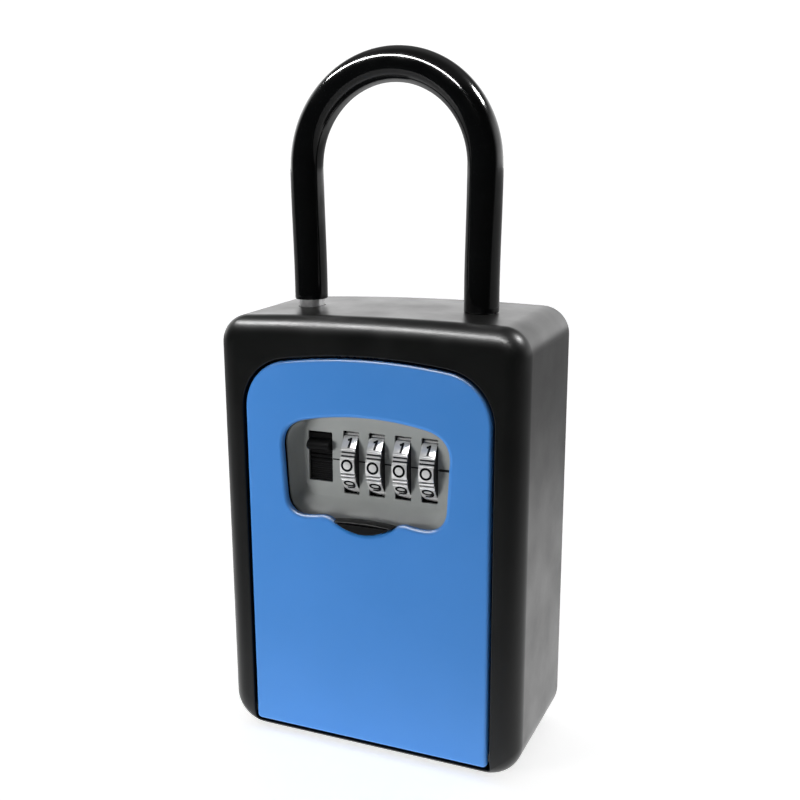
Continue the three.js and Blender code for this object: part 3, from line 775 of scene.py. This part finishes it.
def dial_profile():
    """Radius and angle round one digit's share of the rim: a pad, then three ribs between grooves."""
    half_pad = DIAL_RADIUS * math.tan(math.radians(PAD_HALF))
    pad = []
    for i in range(-6, 7):
        rise = half_pad * i / 6
        crown = PAD_CROWN * (1 - (i / 6) ** 2)
        pad.append((math.hypot(DIAL_RADIUS + crown, rise), math.degrees(math.atan2(rise, DIAL_RADIUS))))
    corner = pad[-1][0]
    pad[0] = (corner - 0.06, -PAD_HALF)
    pad[-1] = (corner - 0.06, PAD_HALF)
    groove, rib = DIAL_RADIUS - 0.65, DIAL_RADIUS + 0.02
    pad.append((corner - 0.22, PAD_HALF + 0.25))
    for start, end, before, after in (
        (10.9, 13.4, corner - 0.22, groove),
        (16.5, 19.5, groove, groove),
        (22.6, 25.1, groove, corner - 0.22),
    ):
        pad += [(before, start - 0.2), (rib - 0.08, start), (rib, start + 0.45)]
        pad += [(rib, end - 0.45), (rib - 0.08, end), (after, end + 0.2)]
    return pad


def dial_mesh(x0, x1):
    """The wheel: its rim profile swept across, rounded at both faces, with a bore."""
    rim = []
    for digit in range(10):
        rim += [(radius, angle + 36 * digit) for radius, angle in dial_profile()]
    edge = 0.28

    def ring(x, shrink):
        points = []
        for radius, degrees in rim:
            angle = math.radians(180 - degrees)
            r = radius - shrink
            points.append((x, AXLE_Y + r * math.cos(angle), AXLE_Z + r * math.sin(angle)))
        return points

    def inner(x, radius):
        count = len(rim)
        points = []
        for i in range(count):
            angle = math.radians(180 - 360 * i / count)
            points.append((x, AXLE_Y + radius * math.cos(angle), AXLE_Z + radius * math.sin(angle)))
        return points

    rings = [inner(x0, 1.5), ring(x0, 1.6), ring(x0, edge)]
    rings += [ring(x0 + edge * (1 - math.cos(a)), edge * (1 - math.sin(a))) for a in (0.5, 1.05, math.pi / 2)]
    rings += [ring(x1 - edge * (1 - math.cos(a)), edge * (1 - math.sin(a))) for a in (math.pi / 2, 1.05, 0.5)]
    rings += [ring(x1, edge), ring(x1, 1.6), inner(x1, 1.5)]
    rings.append(rings[0])
    return loft(rings)


def numeral_mesh(digit, centre_x, turn):
    """A numeral as a thin black inlay lying on its pad; digits go round the wheel by the turn."""
    parts = []
    height = 0.035
    for path in digit_paths(digit):
        scaled = [(x * DIGIT_HEIGHT, z * DIGIT_HEIGHT) for x, z in path]
        sides = ribbon(scaled, STROKE)
        vertices, faces = [], []
        for (lx, lz), (rx, rz) in sides:
            for lift in (-0.1, height):
                vertices.append(place_on_pad(centre_x + lx, lz, turn, lift))
                vertices.append(place_on_pad(centre_x + rx, rz, turn, lift))
        for i in range(len(sides) - 1):
            a, b = 4 * i, 4 * (i + 1)
            faces += [(a + 2, a + 3, b + 3, b + 2), (a, b, b + 1, a + 1)]
            faces += [(a, a + 2, b + 2, b), (a + 1, b + 1, b + 3, a + 3)]
        faces += [(0, 1, 3, 2), tuple(4 * (len(sides) - 1) + k for k in (0, 2, 3, 1))]
        parts.append((vertices, faces))
    return merge(*parts)


def place_on_pad(x, rise, turn, lift):
    """A point on the flat pad that faces the given turn, in degrees above the front."""
    angle = math.radians(turn)
    half_pad = DIAL_RADIUS * math.tan(math.radians(PAD_HALF))
    out = DIAL_RADIUS + PAD_CROWN * (1 - (rise / half_pad) ** 2) + lift
    y = AXLE_Y - (out * math.cos(angle) - rise * math.sin(angle))
    z = AXLE_Z + out * math.sin(angle) + rise * math.cos(angle)
    return (x, y, z)


def make_dials():
    for i, (name, (low, high)) in enumerate(zip(DIALS, DIAL_BOXES)):
        wheel = add_mesh(f"wheel_{i + 1}_rim", *dial_mesh(low[0], high[0]), sharp=28)
        use(wheel, DIAL_RIM, DARK_PLATE_AND_GROOVE_SHADE)
        # Painted shade: the wheel's side faces and the bottoms of its grooves get the dark material, as if in
        # shade between the wheels and down in the grooves.
        for face in wheel.data.polygons:
            out = math.hypot(face.center.y / MM - AXLE_Y, face.center.z / MM - AXLE_Z)
            if abs(face.normal.x) > 0.85 or out < DIAL_RADIUS - 0.5:
                face.material_index = 1
        stand_for(wheel, f"wheel_{i + 1}", name, slot="chrome")
        middle = (low[0] + high[0]) / 2
        numerals = add_mesh(
            f"wheel_{i + 1}_numerals",
            *merge(*[numeral_mesh(d, middle, 36 * d) for d in range(10)]),
        )
        use(numerals, INK)
        stand_for(numerals, f"wheel_{i + 1}", slot="chrome")


# ---- Slider and shutter ----


def prism_mesh(profile, x0, x1):
    """A closed side-view profile, in Y and Z, made wide from x0 to x1."""
    return loft([[(x0, y, z) for y, z in profile], [(x1, y, z) for y, z in profile]], True, True)


def make_slider():
    low, high = box_mm("open_slider")
    back = high[1]
    plate = -13.4
    profile = [(back, low[2]), (plate, low[2]), (plate, 74.7)]
    for z in (74.9, 76.05, 77.2, 78.35):
        profile += [(plate + 0.4, z), (plate + 0.4, z + 0.35), (plate, z + 0.5), (plate, z + 1.0)]
    for z in (79.6, 80.75, 81.9):
        profile += [(plate, z), (plate - 0.35, z + 0.15), (plate - 0.4, z + 0.7), (plate - 0.05, z + 0.85)]
    profile += [
        (-13.9, 82.8), (-14.9, 82.95), (-15.8, 83.3), (-16.25, 83.75), (-16.4, 84.3), (-16.3, 84.8),
        (-15.9, 85.3), (-15.2, 85.7), (-14.5, 85.95), (-13.9, 86.1), (-13.9, 87.4), (plate, 87.6),
    ]
    profile += [(plate, high[2]), (back, high[2])]
    slider = add_mesh("slider", *prism_mesh(profile, -18.2, -11.8), sharp=30)
    soften(slider, 0.12, 2)
    use(slider, BLACK)
    stand_for(slider, "opener", "open_slider", slot="black_plastic")
    face, foot, head = plate + 0.1, low[2] + 0.2, high[2] - 0.2
    section = [(back, foot), (face, foot), (face, head), (back, head)]
    wings = add_mesh("slider_wings", *prism_mesh(section, low[0], high[0]))
    soften(wings, 0.1, 2)
    use(wings, BLACK)
    stand_for(wings, "opener", slot="black_plastic")


def make_shutter():
    front, rear = -19.5, SHUTTER_BOX[1][1]
    top = bezier((9.8, 65.8), (0, 67.4), (-9.8, 65.8), 40)
    outline = [(-25.6, 34.0), (25.6, 34.0), (25.6, 65.4)] + top + [(-9.8, 65.8), (-25.6, 65.4)]
    plate = add_mesh("shutter_plate", *loft([at_y(outline, front), at_y(outline, rear)], True, True))
    soften(plate, 0.15, 2)
    use(plate, BLACK)
    stand_for(plate, "shutter", "shutter", slot="black_plastic")
    lip = bezier((0, 63.35), (4.4, 63.35), (8.2, 66.0), 14) + bezier((8.2, 66.0), (0, 67.0), (-8.2, 66.0), 28)
    lip += bezier((-8.2, 66.0), (-4.4, 63.35), (0, 63.35), 14)
    tip = DOOR_BOX[0][1] - 1.2
    rings = [at_y(lip, front + 0.1)]
    for k in range(5):
        angle = math.radians(90 * k / 4)
        rings.append(at_y(offset(lip, -0.35 * (1 - math.cos(angle))), tip + 0.35 * (1 - math.sin(angle))))
    thumb = add_mesh("shutter_lip", *loft(rings, True, True))
    use(thumb, BLACK)
    stand_for(thumb, "shutter", slot="black_plastic")


# ---- Shackle ----


def leg_x(z):
    """A leg's distance from the middle: straight in the case, leaning out a little towards the arch."""
    share = min(max((z - 124) / (LEG_TOP - 124), 0), 1)
    return LEG_X + LEG_SPREAD * share * share * (3 - 2 * share)


def shackle_line(low, leg_steps=24, arch_steps=64):
    """The middle line from one leg's end, over the arch, to the other's; low is both ends' heights."""
    points = []
    for i in range(leg_steps):
        z = low[0] + (LEG_TOP - low[0]) * i / leg_steps
        points.append((-leg_x(z), z))
    for i in range(arch_steps + 1):
        angle = math.pi * (1 - i / arch_steps)
        points.append((leg_x(LEG_TOP) * math.cos(angle), LEG_TOP + ARCH_HEIGHT * math.sin(angle)))
    for i in range(1, leg_steps + 1):
        z = LEG_TOP + (low[1] - LEG_TOP) * i / leg_steps
        points.append((leg_x(z), z))
    return points


def tube_rings(points, radius, sides=40):
    """A ring round each point of a line that stays in the plane of the shackle."""
    rings = []
    last = len(points) - 1
    for i, (x, z) in enumerate(points):
        x0, z0 = points[max(i - 1, 0)]
        x1, z1 = points[min(i + 1, last)]
        length = math.hypot(x1 - x0, z1 - z0)
        nx, nz = (z1 - z0) / length, -(x1 - x0) / length
        r = radius(i) if callable(radius) else radius
        ring = []
        for k in range(sides):
            angle = 2 * math.pi * k / sides
            out = r * math.cos(angle)
            ring.append((x + nx * out, SHACKLE_Y + r * math.sin(angle), z + nz * out))
        rings.append(ring)
    return rings


def make_shackle():
    outer_radius = (SLEEVE_BOX[1][1] - SLEEVE_BOX[0][1]) / 2
    bar_radius = (BAR_BOX[1][1] - BAR_BOX[0][1]) / 2
    foot_left, foot_right, round_end = 121.2, 119.25, 0.3
    points = shackle_line((foot_left, foot_right))
    ends = [(0.0, -round_end), (0.07, -0.15), (0.2, -0.04), (round_end, 0.0)]
    left = [(-LEG_X, foot_left + rise) for rise, _ in ends]
    right = [(LEG_X, foot_right + rise) for rise, _ in reversed(ends)]
    line_points = left + points[1:-1] + right
    shrink = [s for _, s in ends] + [0.0] * (len(points) - 2) + [s for _, s in reversed(ends)]
    rings = tube_rings(line_points, lambda i: outer_radius + shrink[i])
    bore = tube_rings(line_points, bar_radius + 0.08)
    vertices, faces = loft(rings + bore[::-1])
    count = len(rings[0])
    last = len(rings) + len(bore) - 1
    for i in range(count):
        j = (i + 1) % count
        faces.append((last * count + i, last * count + j, j, i))
    sleeve = add_mesh("sleeve", vertices, faces)
    use(sleeve, VINYL)
    stand_for(sleeve, "shackle", "shackle_sleeve", slot="vinyl")
    low = BAR_BOX[0][2]
    core = shackle_line((low + 1.0, low + 1.0))
    core = [(-LEG_X, low), (-LEG_X, low + 0.4)] + core + [(LEG_X, low + 0.4), (LEG_X, low)]
    sizes = [0.7, 0.25] + [0.0] * (len(core) - 4) + [0.25, 0.7]
    bar = add_mesh("bar", *loft(tube_rings(core, lambda i: bar_radius - sizes[i]), True, True))
    for x in (-LEG_X, LEG_X):
        notch = [(x + 2.0, -4.0), (x + 6.0, -4.0), (x + 6.0, 6.0), (x + 2.0, 6.0)]
        rings = [[(px, py, z) for px, py in notch] for z in (104.0, 108.0)]
        cut_away(bar, add_mesh("notch_tool", *loft(rings, True, True)))
    soften(bar, 0.15, 2, 40)
    use(bar, BAR_CHROME)
    stand_for(bar, "shackle", "shackle_bar", slot="chrome")


# ---- Inner pieces: the CAD shapes with rounded edges ----


def refine(node, material, slot, width=0.25):
    """A copy of a CAD piece with every hard edge rounded, in place of the piece."""
    source = frame["nodes"][node]
    mesh = source.data.copy()
    mesh.transform(source.matrix_world)
    bm = bmesh.new()
    bm.from_mesh(mesh)
    bmesh.ops.remove_doubles(bm, verts=bm.verts, dist=2e-6)
    bmesh.ops.dissolve_limit(bm, angle_limit=math.radians(1), verts=bm.verts, edges=bm.edges)
    bm.to_mesh(mesh)
    bm.free()
    piece = finish_mesh(f"{node}_fine", mesh, 32)
    soften(piece, width, 2, 32)
    use(piece, material)
    body = next(b for b, nodes in frame["record"]["behaviour"]["bodies"].items() if node in nodes)
    return stand_for(piece, body, node, slot=slot)


def make_inner_pieces():
    for node in ("door_chassis", "dial_cover", "latch_cover"):
        refine(node, BLACK, "black_plastic", 0.3)
    refine("release_button", BLACK, "black_plastic", 0.2)
    refine("reset_lever", GREY, "grey_plastic", 0.3)
    refine("shackle_housing", ZINC, "zinc", 0.3)
    refine("latch_bolt", ZINC, "zinc", 0.25)
    for node in ("shackle_latch", "strike_plate", "latch_plate"):
        refine(node, STEEL, "steel", 0.15)
    for node in frame["nodes"]:
        if "_screw_" in node:
            refine(node, STEEL, "steel", 0.12)
    for i in range(4):
        refine(f"cam_{i + 1}", BRASS, "brass", 0.12)
    for node in ("dial_axle", "detent_spring", "latch_spring", "shackle_spring"):
        use(frame["nodes"][node], STEEL)
    use(frame["nodes"]["hinge_pin"], DARK_PLATE_AND_GROOVE_SHADE)


# ---- Studio ----


def make_floor():
    size, front = 6.0, 0.28
    corners = [(-size, -front, 0), (size, -front, 0), (size, size, 0), (-size, size, 0)]
    mesh = bpy.data.meshes.new("floor")
    mesh.from_pydata(corners, [], [(0, 1, 2, 3)])
    floor = bpy.data.objects.new("floor", mesh)
    bpy.context.scene.collection.objects.link(floor)
    mesh.materials.append(floor_white())


def area_light(name, place, target, width, height, power):
    light = bpy.data.lights.new(name, "AREA")
    light.shape = "RECTANGLE"
    light.size, light.size_y = width, height
    light.energy = power
    lamp = bpy.data.objects.new(name, light)
    lamp.visible_camera = False
    lamp.location = place
    lamp.rotation_euler = (Vector(target) - Vector(place)).to_track_quat("-Z", "Y").to_euler()
    bpy.context.scene.collection.objects.link(lamp)
    return lamp


def make_world():
    """White surroundings behind the object, dim ones in front of it; seen directly they are white."""
    world = bpy.data.worlds.new("studio")
    bpy.context.scene.world = world
    world.use_nodes = True
    tree = world.node_tree
    tree.nodes.clear()
    place = tree.nodes.new("ShaderNodeTexCoord").outputs["Generated"]
    split = tree.nodes.new("ShaderNodeSeparateXYZ")
    tree.links.new(place, split.inputs["Vector"])

    def remap(source, low, high, to_low, to_high):
        node = tree.nodes.new("ShaderNodeMapRange")
        node.interpolation_type = "SMOOTHSTEP"
        limits = {"From Min": low, "From Max": high, "To Min": to_low, "To Max": to_high}
        for key, value in limits.items():
            node.inputs[key].default_value = value
        tree.links.new(source, node.inputs["Value"])
        return node.outputs["Result"]

    def combine(operation, a, b):
        node = tree.nodes.new("ShaderNodeMath")
        node.operation = operation
        for socket, value in zip(node.inputs, (a, b)):
            if isinstance(value, float):
                socket.default_value = value
            else:
                tree.links.new(value, socket)
        return node.outputs["Value"]

    behind = remap(split.outputs["Y"], -0.15, 0.45, 0.0, 1.0)
    height = remap(split.outputs["Z"], 0.30, 0.60, 2.35, 0.25)
    near_horizon = remap(split.outputs["Z"], 0.06, 0.20, 0.5, 0.0)
    backdrop = combine("MULTIPLY", behind, combine("ADD", height, near_horizon))
    ceiling = remap(split.outputs["Z"], 0.6, 0.9, 0.03, 0.25)
    strength = combine("ADD", backdrop, ceiling)
    rays = tree.nodes.new("ShaderNodeLightPath")
    seen = tree.nodes.new("ShaderNodeMix")
    tree.links.new(rays.outputs["Is Camera Ray"], seen.inputs["Factor"])
    tree.links.new(strength, seen.inputs["A"])
    seen.inputs["B"].default_value = 1.4
    background = tree.nodes.new("ShaderNodeBackground")
    tree.links.new(seen.outputs["Result"], background.inputs["Strength"])
    output = tree.nodes.new("ShaderNodeOutputWorld")
    tree.links.new(background.outputs["Background"], output.inputs["Surface"])


def make_lights():
    """Two lamps for the highlights, and a soft low one at the front left for the shading."""
    key = area_light("key", (-0.114, -0.169, 0.412), (0, 0, 0.12), 0.56, 0.032, 6.6)
    right = area_light("right", (0.40, 0.12, 0.56), (0, 0, 0.12), 0.12, 0.12, 6.5)
    for lamp in (key, right):
        lamp.visible_diffuse = False
    fill = area_light("fill", (-0.34, -0.42, 0.04), (0, 0, 0.07), 0.20, 0.20, 2.4)
    fill.visible_glossy = False


def make_camera():
    """The view: from the right and a little above, with a 51 mm lens."""
    azimuth, elevation, roll = math.radians(27.835), math.radians(14.491), math.radians(-1.801)
    distance = 0.307304
    aim_right = -0.030663
    aim = Vector((aim_right * math.cos(azimuth), aim_right * math.sin(azimuth), 0.0856))
    back = Vector((
        math.sin(azimuth) * math.cos(elevation),
        -math.cos(azimuth) * math.cos(elevation),
        math.sin(elevation),
    ))
    level = Vector((math.cos(azimuth), math.sin(azimuth), 0))
    upright = back.cross(level)
    right = level * math.cos(roll) + upright * math.sin(roll)
    up = upright * math.cos(roll) - level * math.sin(roll)
    camera = bpy.data.cameras.new("camera")
    camera.sensor_width = 36
    camera.lens = 51
    camera.shift_x = 0.15
    camera.shift_y = 0.045
    camera.clip_start = 0.01
    camera.clip_end = 20
    view = bpy.data.objects.new("camera", camera)
    matrix = view.matrix_world.copy()
    for row in range(3):
        matrix[row][0], matrix[row][1], matrix[row][2] = right[row], up[row], back[row]
        matrix[row][3] = (aim + back * distance)[row]
    view.matrix_world = matrix
    bpy.context.scene.collection.objects.link(view)
    bpy.context.scene.camera = view


make_camera()
make_case()
make_door()
make_tray()
make_dials()
make_slider()
make_shutter()
make_shackle()
make_inner_pieces()
make_floor()
make_world()
make_lights()
bpy.context.scene.view_settings.view_transform = "Standard"
